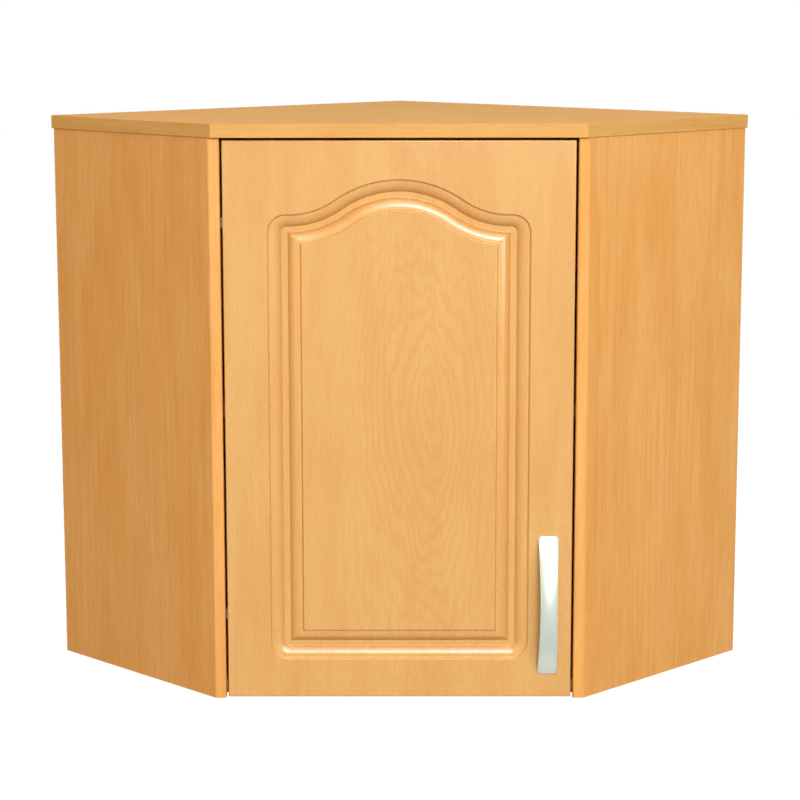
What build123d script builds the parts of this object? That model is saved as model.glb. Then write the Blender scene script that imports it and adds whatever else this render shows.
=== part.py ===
from build123d import *
import os
from math import asin, cos, degrees, hypot, radians, sin, sqrt

# Corner wall cabinet with a diagonal front, millimetres, +Z up, front towards -Y.
# The origin is on the underside, midway between the places where the two side
# panels meet the walls. The two walls meet behind it, at (0, corner_y).

os.makedirs("parts", exist_ok=True)
ROOT2 = sqrt(2)
BASE = (Align.CENTER, Align.CENTER, Align.MIN)
FRONT_BASE = (Align.MIN, Align.CENTER, Align.MIN)

# ---- carcass
wall_length = 600.0  # top board along each wall, from the room's corner
side_length = 286.5  # side panel, from its rear edge to its outer front corner
side_height = 657.0
board = 16.0  # laminated board
top_thickness = 16.0
side_overhang = 1.5  # top board past the outer faces of the side panels
front_overhang = 5.0  # top board past the door
rear_overhang = 6.0  # top board past the rear edges of the side panels
front_strip = 12.4  # wrapped strip of each side panel beside the door
strip_outer_radius = 3.5
strip_inner_radius = 2.5
back_thickness = 3.0
band = 1.0  # edge band
band_radius = 0.6
post_width = 90.0  # board across the room's corner
post_thickness = 16.0

# ---- shelf
shelf_clearance = 1.0
shelf_setback = 18.0  # behind the bottom board's front edge
pin_radius = 2.5
pin_depth = 8.0
pin_reach = 9.0
pin_collar_radius = 4.0
pin_collar = 0.8
pin_setback = 45.0  # rear pins, from the side panel's rear edge
pin_margin = 34.0  # front pins, from the shelf's front corner
pin_pitch = 32.0  # between the heights that the shelf can take
pin_steps = (-2, -1, 1, 2)  # free heights below and above the shelf

# ---- door
door_thickness = 16.0
door_side_gap = 2.8
door_top_gap = 3.0
door_raise = 1.5  # door's lower edge above the underside
door_edge_radius = 1.5
bumper_radius = 5.0
bumper_rounding = 2.0
bumper_clearance = 0.3
bumper_inset = 45.0  # from the door's side edges

# ---- routed groove of the door, measured from the middle line of its flat floor
groove_floor = 8.0
groove_low = 66.0  # lower run of the middle line above the underside
groove_side_margin = 70.0  # from the door's side edge to the middle line
groove_crown = 593.0  # highest point of the middle line above the underside
arch_radius = 110.0  # both arcs of the arch, on the middle line
arch_angle = 35.0
slope_width = 15.3  # each side of the floor
groove_depth = 5.0
step_depth = 1.0  # small square step at the far end of each slope
slope_bulge = 3.0  # power of the slope's curve, steepest beside the floor
slope_shares = (0.0, 0.4, 0.65, 0.83, 1.0)  # stations of the slope, the floor at 1
groove_corner_radius = 6.5  # outer corners of the floor

# ---- handle
handle_length = 165.0
handle_end_width = 24.4
handle_mid_width = 20.1
handle_corner_radius = 3.0
handle_thickness = 4.5
handle_rise = 30.0
handle_end_thickness = 3.0
handle_crown = 2.4  # middle of the front above its sides
facet_length = 31.0  # flat facet at each end of the front
facet_end_thickness = 1.8
handle_boss_radius = 4.5
handle_boss_height = 12.0
handle_hole_spacing = 128.0
handle_middle = 112.5  # above the underside
handle_inset = 27.7  # from the door's right edge to the handle's middle line
handle_screw_radius = 2.0
handle_screw_head_radius = 4.0
handle_screw_head = 2.0
handle_screw_in_foot = 8.0

# ---- cam fittings and dowels
cam_setback = 24.0
cam_radius = 7.4
cam_length = 12.0
cam_recess = 0.2  # under the cam, in its pocket
cam_pocket_radius = 7.5
cam_pocket = 12.5
bolt_thread_radius = 2.9
bolt_thread = 11.0
bolt_shank_radius = 2.5
bolt_head_radius = 3.3
bolt_head = 4.0
bolt_hole_radius = 3.6
cam_bore_radius = 3.9
cam_bore_past = 3.0  # bore past the cam's middle
slot_width = 1.4
slot_length = 8.0
slot_depth = 1.0
dowel_radius = 4.0
dowel_in_face = 11.0
dowel_in_edge = 19.0
dowel_relief = 0.5  # free at each end of a dowel
fit_clearance = 0.05
hole_relief = 0.25  # holes deeper than what they hold
rear_joint_setback = 70.0  # from the side panel's rear edge
front_joint_setback = 76.5  # from the side panel's front corner

# ---- back nails
nail_length = 13.0
nail_radius = 0.8
nail_head_radius = 1.8
nail_head = 0.5
side_nail_heights = (80.0, 245.0, 410.0, 560.0)
bottom_nail_places = (240.0, 430.0)  # along the wall, from the room's corner
post_nail_heights = (160.0, 500.0)

# ---- cross-slotted screws
screw_slot = 1.2

# ---- hanging brackets
housing_depth = 42.0
housing_width = 18.0
housing_height = 58.0
housing_corner_radius = 4.0
housing_drop = 3.0  # below the top board
housing_gap = 0.2  # to the back panel
hook_thickness = 2.5
hook_body_height = 22.0
hook_end = 34.0  # off the wall
hook_neck = 9.0  # off the wall
hook_rest = 3.0  # underside of the neck above the bracket's middle
hook_tooth = 10.0
hook_tooth_thickness = 2.1
hook_clearance = 0.3
hook_travel = 6.0
tooth_start = 1.8  # off the wall
plate_thickness = 1.5
plate_width = 40.0
plate_height = 64.0
plate_top = 12.0  # above the bracket's middle
plate_corner_radius = 3.0
plate_lip_width = 15.0
lip_drop = 3.0  # free height under the tooth
plate_hole_radius = 2.6
plate_hole_heights = (-47.0, -22.0)  # from the bracket's middle
window_height = 52.0
hanger_screw_radius = 2.0
hanger_screw_length = 12.0
hanger_screw_height = 23.5
hanger_screw_head_radius = 3.8
hanger_screw_head = 1.8
adjuster_radius = 2.5
adjuster_length = 9.0
adjuster_height = 12.0

# ---- cup hinges with one pivot and a gooseneck arm
hinge_margin = 95.0  # hinge middle from the door's upper and lower edges
cup_radius = 17.5
cup_wall = 1.3
cup_depth = 11.6
cup_floor = 1.0
cup_edge_distance = 4.0  # door edge to the cup's bore
cup_rim = 1.0
cup_flange = 1.0
cup_flange_width = 20.0
cup_flange_height = 62.0
cup_flange_radius = 5.0
cup_screw_radius = 1.6
cup_screw_length = 11.0
cup_screw_head_radius = 3.4
cup_screw_head = 1.4
cup_screw_height = 24.0
cup_screw_offset = 6.0
pivot_inset = 11.0  # from the door's left edge
pivot_depth = 7.6  # from the door's back
pivot_radius = 1.25
pivot_clearance = 0.08
eye_radius = 2.6
ear_clearance = 0.3
ear_thickness = 2.0
nose_half_width = 6.0
neck_thickness = 3.4
neck_reach = 22.5  # from the pivot to the leg that leaves the cup
neck_rise = 2.0  # from the pivot to the first bend
neck_bend = 6.2
neck_radius = 3.5
arm_clearance = 0.9  # around the door's sweeping edge
arm_length = 50.0
arm_width = 15.6
arm_overlap = 14.0
arm_screw_setbacks = (12.0, 36.0)  # from the front end of the arm
arm_screw_radius = 2.0
arm_screw_grip = 4.0
arm_screw_head_radius = 3.2
arm_screw_head = 1.6
arm_end_setback = 10.0  # from the inner end of the strip
plate_setback = 40.0  # middle of the mounting plate, from the inner end of the strip
base_thickness = 2.0
base_length = 18.0
base_height = 50.0
rail_length = 46.0
rail_width = 12.6
rail_top = 6.2
plate_screw_height = 16.0
plate_screw_radius = 1.75
plate_screw_length = 12.0
plate_screw_head_radius = 3.4
plate_screw_head = 1.4
leaf_length = 24.0
leaf_width = 7.0
leaf_thickness = 0.3
swing_clearance = 0.7  # bottom board to the door's sweeping edge

# ---- derived places
corner_y = wall_length / ROOT2
side_along = wall_length - side_overhang  # outer face of the right side panel
inner_along = side_along - board  # its inner face
face_y = corner_y - (side_along + rear_overhang + side_length) / ROOT2
side_front_x = (side_along - rear_overhang - side_length) / ROOT2
top_front_y = face_y - front_overhang
door_right_x = side_front_x - front_strip - door_side_gap
door_left_x = -door_right_x
door_back_y = face_y + door_thickness
door_bottom = door_raise
door_top = side_height - door_top_gap
swing_radius = hypot(pivot_inset, pivot_depth)  # rear corner of the door's hinged edge
bottom_setback = swing_radius - pivot_depth + swing_clearance
bottom_front_y = door_back_y + bottom_setback
bumper_height = bottom_setback - bumper_clearance
strip_x = side_front_x - front_strip
strip_end_y = strip_x - ROOT2 * inner_along + corner_y
strip_end_off = ROOT2 * (corner_y - strip_end_y) - inner_along  # from the wall
shelf_front_y = bottom_front_y + shelf_setback
shelf_bottom = board + (side_height - board - board) / 2
shelf_along = inner_along - shelf_clearance
shelf_off = rear_overhang + shelf_clearance
shelf_end_off = ROOT2 * (corner_y - shelf_front_y) - inner_along  # its front corner, from the wall
rear_joint_off = rear_overhang + rear_joint_setback
front_joint_off = rear_overhang + side_length - front_joint_setback
handle_x = door_right_x - handle_inset
bow_height = handle_rise - handle_end_thickness
groove_half = door_right_x - groove_side_margin
housing_start = rear_overhang + housing_gap
window_width = housing_width - 2 * hook_clearance
hook_along = inner_along - housing_width / 2
cup_middle = cup_edge_distance + cup_radius
arm_top = rail_top + fit_clearance + neck_thickness
arm_y = swing_radius - pivot_depth + arm_clearance + neck_thickness  # from the door's back
hang_height = side_height - housing_drop - housing_height / 2
hinge_heights = (door_bottom + hinge_margin, door_top - hinge_margin)


def wall_point(along, off):
    """Plan point at a distance along the right wall from the room's corner and off that wall."""
    return ((along - off) / ROOT2, corner_y - (along + off) / ROOT2)


def front_corner(along, y):
    """Plan point where the line square to the right wall meets a line across the front."""
    return (ROOT2 * along - corner_y + y, y)


def pentagon(along, off, y):
    """Outline of a board: two wall edges, two edges square to the walls and the front."""
    right = [wall_point(along, off), front_corner(along, y)]
    left = [(-px, py) for px, py in reversed(right)]
    return [wall_point(off, off)] + right + left


def cut_pentagon(along, off, y, cut_y):
    """The same outline with its rear corner cut off square to the front."""
    cut_x = corner_y - ROOT2 * off - cut_y
    right = [(cut_x, cut_y), wall_point(along, off), front_corner(along, y)]
    left = [(-px, py) for px, py in reversed(right)]
    return right + left


def save(builder, name):
    builder.part.label = name
    export_step(builder.part, f"parts/{name}.step")


# Right wall: x along it, y up, z into the room. Inner faces of the side panels: y up and
# z inwards, with x off the wall on the right and towards the wall on the left.
right_wall = Plane((0, corner_y, 0), x_dir=(1, -1, 0), z_dir=(-1, -1, 0))
inner_x, inner_y = wall_point(inner_along, 0)
right_inner = Plane((inner_x, inner_y, 0), x_dir=(-1, -1, 0), z_dir=(-1, 1, 0))
left_inner = Plane((-inner_x, inner_y, 0), x_dir=(-1, 1, 0), z_dir=(1, 1, 0))


def on_plane(plane, x, y, z=0.0, turn=(0, 0, 0)):
    """Plane at a place in the local frame of another plane."""
    return Plane(plane.location * Location((x, y, z), turn))


def on_back(x, height):
    """Place on the door's back, z into the cabinet."""
    return Plane((x, door_back_y, height), x_dir=(1, 0, 0), z_dir=(0, 1, 0))


def on_front(x, height):
    """Place on the door's face, z towards the room."""
    return Plane((x, face_y, height), x_dir=(1, 0, 0), z_dir=(0, -1, 0))


def mirror_plane(plane):
    """The same place on the left half, for tools that are symmetrical about their own axis."""
    return Plane(
        (-plane.origin.X, plane.origin.Y, plane.origin.Z),
        x_dir=(-plane.x_dir.X, plane.x_dir.Y, plane.x_dir.Z),
        z_dir=(-plane.z_dir.X, plane.z_dir.Y, plane.z_dir.Z),
    )


def both_sides(planes):
    return planes + [mirror_plane(plane) for plane in planes]


# ------------------------------------------------------------------ places of small fittings
post_front_y = corner_y - ROOT2 * rear_overhang - post_width / 2
post_middle_y = post_front_y + post_thickness / 2
shelf_cut_y = post_front_y - shelf_clearance
pin_height = shelf_bottom - pin_radius
pin_offs = (rear_overhang + pin_setback, shelf_end_off - pin_margin)
right_pins = [on_plane(right_inner, off, pin_height) for off in pin_offs]
post_pin = Plane((0, post_front_y, pin_height), x_dir=(1, 0, 0), z_dir=(0, -1, 0))
hanger_plane = on_plane(right_inner, 0, hang_height)
hanger_screw_places = [
    on_plane(hanger_plane, housing_start + housing_depth / 2, side * hanger_screw_height) for side in (-1, 1)
]
housing_front = on_plane(hanger_plane, housing_start + housing_depth, 0, housing_width / 2)
adjuster_places = [on_plane(housing_front, 0, side * adjuster_height, 0, (0, 90, 0)) for side in (-1, 1)]
handle_ends = [handle_middle + side * handle_hole_spacing / 2 for side in (-1, 1)]
handle_screw_places = [on_back(handle_x, height) for height in handle_ends]
handle_foot_places = [on_front(handle_x, height) for height in handle_ends]
bumper_places = [on_back(side * (door_right_x - bumper_inset), board / 2) for side in (-1, 1)]
plate_x = plate_setback - strip_end_off
arm_front_x = arm_end_setback - strip_end_off


def cup_place(height):
    return on_back(door_left_x + cup_middle, height)


def cup_screw_places(height):
    return [on_plane(cup_place(height), cup_screw_offset, side * cup_screw_height) for side in (-1, 1)]


def plate_screw_places(height, z=0.0):
    return [on_plane(left_inner, plate_x, height + side * plate_screw_height, z) for side in (-1, 1)]


def arm_screw_places(height):
    return [on_plane(left_inner, arm_front_x + setback, height, arm_top) for setback in arm_screw_setbacks]


# ------------------------------------------------------------------ cam fittings
# Local frame of a joint: z from the board with the thread into the board with
# the cam, starting at the faces that meet; x towards the mouth of the cam.
def side_top_joint(off):
    place = (*wall_point(side_along - board / 2, off), side_height)
    return Plane(place, x_dir=(-1, 1, 0), z_dir=(0, 0, -1))


def side_bottom_joint(off):
    place = (*wall_point(inner_along, off), board / 2)
    return Plane(place, x_dir=(0, 0, 1), z_dir=(-1, 1, 0))


joint_offs = (rear_joint_off, front_joint_off)
dowel_off = (rear_joint_off + front_joint_off) / 2
post_top_joint = Plane((0, post_middle_y, side_height), x_dir=(0, -1, 0), z_dir=(0, 0, -1))
post_bottom_joint = Plane((0, post_middle_y, board), x_dir=(0, -1, 0), z_dir=(0, 0, 1))
right_top_joints = [side_top_joint(off) for off in joint_offs]
right_bottom_joints = [side_bottom_joint(off) for off in joint_offs]
left_top_joints = [mirror_plane(p) for p in right_top_joints]
left_bottom_joints = [mirror_plane(p) for p in right_bottom_joints]
top_joints = right_top_joints + left_top_joints + [post_top_joint]
bottom_side_joints = right_bottom_joints + left_bottom_joints
all_joints = top_joints + bottom_side_joints + [post_bottom_joint]
right_top_dowel = side_top_joint(dowel_off)
right_bottom_dowel = side_bottom_joint(dowel_off)
top_dowels = [right_top_dowel, mirror_plane(right_top_dowel)]
bottom_dowels = [right_bottom_dowel, mirror_plane(right_bottom_dowel)]


def drill_holes(places, radius, length):
    """Holes round pieces of some radius and length, a little wider and deeper."""
    with Locations(*places):
        Cylinder(radius + fit_clearance, 2 * (length + hole_relief), mode=Mode.SUBTRACT)


def drill_threads(joints):
    with Locations(*joints):
        Cylinder(bolt_thread_radius + fit_clearance, 2 * bolt_thread, mode=Mode.SUBTRACT)


def drill_cams(joints):
    """Cam pocket from the board's face, and the bolt's hole from its edge."""
    with Locations(*joints):
        Cylinder(bolt_hole_radius, 2 * cam_setback, mode=Mode.SUBTRACT)
        with Locations(Location((board / 2 - cam_pocket, 0, cam_setback), (0, 90, 0))):
            Cylinder(cam_pocket_radius, 2 * cam_pocket, align=BASE, mode=Mode.SUBTRACT)


def drill_dowels(joints, depth):
    with Locations(*joints):
        Cylinder(dowel_radius + fit_clearance, 2 * depth, mode=Mode.SUBTRACT)


def drill_pin_holes(planes):
    """Holes for shelf pins at the shelf's height and at the free heights."""
    for step in (0, *pin_steps):
        with Locations(*[on_plane(plane, 0, step * pin_pitch) for plane in planes]):
            Cylinder(pin_radius + fit_clearance, 2 * pin_depth, mode=Mode.SUBTRACT)


with BuildPart() as cam_bolt_blank:
    with BuildSketch(Plane.XZ):
        with BuildLine():
            Polyline(
                (0, -bolt_thread),
                (bolt_thread_radius, -bolt_thread),
                (bolt_thread_radius, 0),
                (bolt_shank_radius, 0),
                (bolt_shank_radius, cam_setback - bolt_head / 2),
                (bolt_head_radius, cam_setback - bolt_head / 2),
                (bolt_head_radius, cam_setback + bolt_head / 2),
                (0, cam_setback + bolt_head / 2),
                close=True,
            )
        make_face()
    revolve(axis=Axis.Z)

with BuildPart() as cam_blank:
    with Locations(Location((board / 2 - cam_pocket + cam_recess, 0, cam_setback), (0, 90, 0))):
        Cylinder(cam_radius, cam_length, align=BASE)
    with Locations((0, 0, cam_setback - cam_radius)):
        Cylinder(cam_bore_radius, cam_radius + cam_bore_past, align=BASE, mode=Mode.SUBTRACT)
    with Locations((board / 2, 0, cam_setback)):
        Box(2 * slot_depth, slot_width, slot_length, mode=Mode.SUBTRACT)
        Box(2 * slot_depth, slot_length, slot_width, mode=Mode.SUBTRACT)

with BuildPart() as cam_bolts:
    with Locations(*all_joints):
        add(cam_bolt_blank.part)

with BuildPart() as cams:
    with Locations(*all_joints):
        add(cam_blank.part)

with BuildPart() as dowels:
    with Locations(*top_dowels, *bottom_dowels):
        with Locations((0, 0, dowel_relief - dowel_in_face)):
            Cylinder(dowel_radius, dowel_in_face + dowel_in_edge - 2 * dowel_relief, align=BASE)

# ------------------------------------------------------------------ back nails
# Local frame of a nail: z from the back panel's rear face into the cabinet.
back_rear = rear_overhang - back_thickness
post_edge_along = wall_length - ROOT2 * post_middle_y - rear_overhang


def nail_plane(along, height):
    return on_plane(right_wall, along, height, back_rear)


side_nails = [nail_plane(side_along - board / 2, height) for height in side_nail_heights]
bottom_nails = [nail_plane(along, board / 2) for along in bottom_nail_places]
post_nails = [nail_plane(post_edge_along, height) for height in post_nail_heights]


def drill_nails(planes):
    drill_holes(planes, nail_radius, nail_length)


with BuildPart() as back_nails:
    with Locations(*both_sides(side_nails + bottom_nails + post_nails)):
        Cylinder(nail_radius, nail_length, align=BASE)
        with Locations((0, 0, -nail_head)):
            Cylinder(nail_head_radius, nail_head, align=BASE)

# ------------------------------------------------------------------ boards
with BuildPart() as top_board:
    with BuildSketch(Plane.XY.offset(side_height)):
        with BuildLine():
            Polyline(*pentagon(wall_length - band, 0, top_front_y + band), close=True)
        make_face()
    extrude(amount=top_thickness)
    drill_threads(top_joints)
    drill_dowels(top_dowels, dowel_in_face)


def board_outline(points):
    Polygon(*points, align=None)


def outer_edges(builder, outline):
    """Edges whose two ends stand on corners of a plan outline."""

    def on_corner(vertex):
        return any(hypot(vertex.X - px, vertex.Y - py) < 0.01 for px, py in outline)

    return [edge for edge in builder.edges() if all(on_corner(v) for v in edge.vertices())]


with BuildPart() as top_edge_band:
    top_outline = pentagon(wall_length, 0, top_front_y)
    top_inner_outline = pentagon(wall_length - band, 0, top_front_y + band)
    with BuildSketch(Plane.XY.offset(side_height)):
        board_outline(top_outline[1:5] + top_inner_outline[4:0:-1])
    extrude(amount=top_thickness)
    fillet(outer_edges(top_edge_band, top_outline), band_radius)

with BuildPart() as bottom_board:
    with BuildSketch():
        board_outline(pentagon(inner_along, rear_overhang, bottom_front_y + band))
    extrude(amount=board)
    drill_cams(bottom_side_joints)
    drill_threads([post_bottom_joint])
    drill_dowels(bottom_dowels, dowel_in_edge)
    drill_nails(both_sides(bottom_nails))


def front_band(along, off, y, bottom):
    """Straight band on the front edge of a board that lies between the side panels."""
    outer = pentagon(along, off, y)
    inner = pentagon(along, off, y + band)
    with BuildSketch(Plane.XY.offset(bottom)) as profile:
        board_outline([outer[2], outer[3], inner[3], inner[2]])
    extrude(profile.sketch, amount=board)


with BuildPart() as bottom_edge_band:
    front_band(inner_along, rear_overhang, bottom_front_y, 0)

with BuildPart() as corner_post:
    post_rear = post_width / 2 - post_thickness
    post_rear_y = post_front_y + post_thickness
    with BuildSketch(Plane.XY.offset(board)):
        board_outline(
            [
                (-post_width / 2, post_front_y),
                (post_width / 2, post_front_y),
                (post_rear, post_rear_y),
                (-post_rear, post_rear_y),
            ]
        )
    extrude(amount=side_height - board)
    drill_cams([post_top_joint, post_bottom_joint])
    drill_nails(both_sides(post_nails))
    drill_pin_holes([post_pin])

# ------------------------------------------------------------------ shelf
with BuildPart() as shelf:
    with BuildSketch(Plane.XY.offset(shelf_bottom)):
        board_outline(cut_pentagon(shelf_along, shelf_off, shelf_front_y + band, shelf_cut_y))
    extrude(amount=board)

with BuildPart() as shelf_edge_band:
    front_band(shelf_along, shelf_off, shelf_front_y, shelf_bottom)

with BuildPart() as shelf_pins:
    with Locations(*both_sides(right_pins), post_pin):
        with Locations((0, 0, fit_clearance - pin_depth)):
            Cylinder(pin_radius, pin_depth + pin_reach - fit_clearance, align=BASE)
        Cylinder(pin_collar_radius, pin_collar, align=BASE)

# ------------------------------------------------------------------ side panels
with BuildPart() as right_side_panel:
    with BuildSketch() as side_plan:
        board_outline(
            [
                wall_point(side_along, rear_overhang),
                (side_front_x, face_y),
                (strip_x, face_y),
                (strip_x, strip_end_y),
                wall_point(inner_along, rear_overhang),
            ]
        )
        fillet(side_plan.vertices().sort_by_distance((side_front_x, face_y))[0], strip_outer_radius)
        fillet(side_plan.vertices().sort_by_distance((strip_x, face_y))[0], strip_inner_radius)
    extrude(amount=side_height)
    drill_cams(right_top_joints)
    drill_threads(right_bottom_joints)
    drill_dowels([right_top_dowel], dowel_in_edge)
    drill_dowels([right_bottom_dowel], dowel_in_face)
    drill_nails(side_nails)
    drill_pin_holes(right_pins)
    drill_holes(hanger_screw_places, hanger_screw_radius, hanger_screw_length)

with BuildPart() as left_side_panel:
    mirror(right_side_panel.part, about=Plane.YZ)
    for height in hinge_heights:
        drill_holes(plate_screw_places(height), plate_screw_radius, plate_screw_length)


def left_copy(builder):
    """The same piece on the left half."""
    with BuildPart() as other:
        mirror(builder.part, about=Plane.YZ)
    return other


# ------------------------------------------------------------------ back panels
def back_panel(start):
    """Right-hand back panel, from a distance along the wall to the side panel's outer face."""
    with BuildPart() as panel:
        with BuildSketch(right_wall.offset(back_rear)):
            with Locations(((start + side_along) / 2, side_height / 2)):
                Rectangle(side_along - start, side_height)
            with Locations((inner_along - window_width / 2, hang_height)):
                Rectangle(window_width, window_height, mode=Mode.SUBTRACT)
        extrude(amount=back_thickness)
        drill_nails(side_nails + bottom_nails + post_nails)
    return panel


right_back_panel = back_panel(rear_overhang)
left_back_panel = left_copy(back_panel(back_rear))


# ------------------------------------------------------------------ cross-slotted screws
def screw(places, radius, length, head_radius, head, lift=0.0):
    """Screws at places whose z points out of the work, heads on a piece of some thickness."""
    with Locations(*places):
        with Locations((0, 0, -length)):
            Cylinder(radius, length + lift, align=BASE)
        with Locations((0, 0, lift)):
            Cylinder(head_radius, head, align=BASE)
            with Locations((0, 0, head)):
                Box(screw_slot, head_radius, head, mode=Mode.SUBTRACT)
                Box(head_radius, screw_slot, head, mode=Mode.SUBTRACT)


# ------------------------------------------------------------------ hanging brackets
# Local frame: x off the wall, y height above the bracket's middle, z inwards from the side panel.
with BuildPart() as right_hanger_housing:
    with BuildSketch(on_plane(hanger_plane, housing_start + housing_depth / 2, 0)):
        RectangleRounded(housing_depth, housing_height, housing_corner_radius)
    extrude(amount=housing_width)
    with Locations(on_plane(hanger_plane, housing_start, 0)):
        with Locations((0, 0, housing_width / 2)):
            Box(
                2 * (hook_end - housing_start + hook_clearance),
                hook_body_height + 2 * (hook_travel + hook_clearance),
                hook_thickness + 2 * hook_clearance,
                mode=Mode.SUBTRACT,
            )
    with Locations(*hanger_screw_places):
        Cylinder(hanger_screw_radius + fit_clearance, 4 * housing_width, mode=Mode.SUBTRACT)
    drill_holes(adjuster_places, adjuster_radius, adjuster_length)

with BuildPart() as right_hanger_hook:
    with BuildSketch(on_plane(hanger_plane, 0, 0, (housing_width - hook_thickness) / 2)):
        tooth_end = tooth_start + hook_tooth_thickness
        board_outline(
            [
                (hook_end, -hook_body_height / 2),
                (hook_end, hook_body_height / 2),
                (tooth_start, hook_body_height / 2),
                (tooth_start, hook_rest - hook_tooth),
                (tooth_end, hook_rest - hook_tooth),
                (tooth_end, hook_rest),
                (hook_neck, hook_rest),
                (hook_neck, -hook_body_height / 2),
            ]
        )
    extrude(amount=hook_thickness)

with BuildPart() as right_wall_plate:
    lip_start = tooth_end + hook_clearance
    lip_bottom = hook_rest - hook_tooth - lip_drop
    lip_height = hook_rest - lip_bottom
    with BuildSketch(right_wall):
        with Locations((hook_along, hang_height + plate_top - plate_height / 2)):
            RectangleRounded(plate_width, plate_height, plate_corner_radius)
        with Locations(*[(hook_along, hang_height + height) for height in plate_hole_heights]):
            Circle(plate_hole_radius, mode=Mode.SUBTRACT)
    extrude(amount=plate_thickness)
    with Locations(on_plane(right_wall, hook_along, hang_height)):
        with Locations((0, hook_rest, lip_start)):
            Box(plate_lip_width, lip_height, plate_thickness, align=(Align.CENTER, Align.MAX, Align.MIN))
        with Locations((0, lip_bottom, 0)):
            Box(
                plate_lip_width,
                plate_thickness,
                lip_start + plate_thickness,
                align=(Align.CENTER, Align.MAX, Align.MIN),
            )

with BuildPart() as right_hanger_screws:
    screw(
        hanger_screw_places,
        hanger_screw_radius,
        hanger_screw_length,
        hanger_screw_head_radius,
        hanger_screw_head,
        lift=housing_width,
    )

with BuildPart() as right_hanger_adjusters:
    screw(adjuster_places, adjuster_radius, adjuster_length, hanger_screw_head_radius, hanger_screw_head)

left_hanger_housing = left_copy(right_hanger_housing)
left_hanger_hook = left_copy(right_hanger_hook)
left_wall_plate = left_copy(right_wall_plate)
left_hanger_screws = left_copy(right_hanger_screws)
left_hanger_adjusters = left_copy(right_hanger_adjusters)

# ------------------------------------------------------------------ door
# Local frame of the door's face: x to the right, y up, z out of the door.
door_face = Plane((0, face_y, 0), x_dir=(1, 0, 0), z_dir=(0, -1, 0))


def arc_point(centre, radius, angle):
    return (centre[0] + radius * cos(radians(angle)), centre[1] + radius * sin(radians(angle)))


def routed_outline(offset, depth):
    """Closed outline parallel to the groove's middle line, at a depth below the door's face.

    The arch is a crown arc between two hollow arcs that share its tangents. Outside
    the middle line the corners are rounded, and inside it they are mitred.
    """
    half = groove_half + offset
    low = groove_low - offset
    crown = (0, groove_crown - arch_radius)
    crown_radius = arch_radius + offset
    join_angle = 90 - arch_angle
    join = arc_point(crown, crown_radius, join_angle)
    hollow = arc_point(crown, 2 * arch_radius, join_angle)
    hollow_radius = arch_radius - offset
    rounding = groove_corner_radius + offset - groove_floor / 2
    end_angle = 270
    if offset < 0:
        end_angle = 270 - degrees(asin((hollow[0] - half) / hollow_radius))
    shoulder = arc_point(hollow, hollow_radius, end_angle)
    crown_middle = arc_point(crown, crown_radius, 90 - arch_angle / 2)
    hollow_middle = arc_point(hollow, hollow_radius, (180 + join_angle + end_angle) / 2)
    with BuildSketch(door_face.offset(-depth)) as outline:
        with BuildLine():
            ThreePointArc((0, crown[1] + crown_radius), crown_middle, join)
            ThreePointArc(join, hollow_middle, shoulder)
            if offset > 0:
                top = shoulder[1]
                Line(shoulder, (half - rounding, top))
                JernArc((half - rounding, top), (1, 0), rounding, -90)
                Line((half, top - rounding), (half, low + rounding))
                JernArc((half, low + rounding), (0, -1), rounding, -90)
                Line((half - rounding, low), (0, low))
            else:
                Polyline(shoulder, (half, low), (0, low))
            mirror(about=Plane.YZ)
        make_face()
    return outline.sketch


def slope_station(side, share):
    """Offset and depth on a routed slope, from its far end (0) to the groove's floor (1)."""
    depth = step_depth + (groove_depth - step_depth) * share**slope_bulge
    return side * (groove_floor / 2 + slope_width * (1 - share)), depth


def routed_slope(side, mode):
    """Cut or add the slope on one side of the floor, with the step at its far end."""
    stations = [slope_station(side, share) for share in slope_shares]
    outlines = [routed_outline(*station) for station in stations]
    extrude(outlines[0], amount=stations[0][1], mode=mode)
    for far, near in zip(outlines, outlines[1:]):
        loft([far, near], ruled=True, mode=mode)


with BuildPart() as door_leaf:
    with BuildSketch(door_face.offset(-door_thickness)):
        with Locations((0, (door_bottom + door_top) / 2)):
            Rectangle(2 * door_right_x, door_top - door_bottom)
    extrude(amount=door_thickness)
    fillet(door_leaf.faces().sort_by(Axis.Y)[0].edges(), door_edge_radius)
    routed_slope(1, Mode.SUBTRACT)
    routed_slope(-1, Mode.ADD)
    drill_holes(handle_screw_places, handle_screw_radius, door_thickness)
    for height in hinge_heights:
        with Locations(cup_place(height)):
            Cylinder(cup_radius, 2 * cup_depth, mode=Mode.SUBTRACT)
        drill_holes(cup_screw_places(height), cup_screw_radius, cup_screw_length)

with BuildPart() as door_bumpers:
    with Locations(*bumper_places):
        Cylinder(bumper_radius, bumper_height, align=BASE)
    fillet(door_bumpers.edges().filter_by(GeomType.CIRCLE).group_by(Axis.Y)[-1], bumper_rounding)

# ------------------------------------------------------------------ handle
half_length = handle_length / 2
bow_radius = (handle_length**2 / 4 + bow_height**2) / (2 * bow_height)
bow_middle = handle_rise - bow_radius  # out of the door's face
bow_angle = degrees(asin(half_length / (bow_radius - handle_thickness)))
bow_axis = Axis((handle_x, face_y - bow_middle, handle_middle), (1, 0, 0))
handle_side = Plane((handle_x, face_y, handle_middle), x_dir=(0, 0, 1), z_dir=(1, 0, 0))

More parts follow.
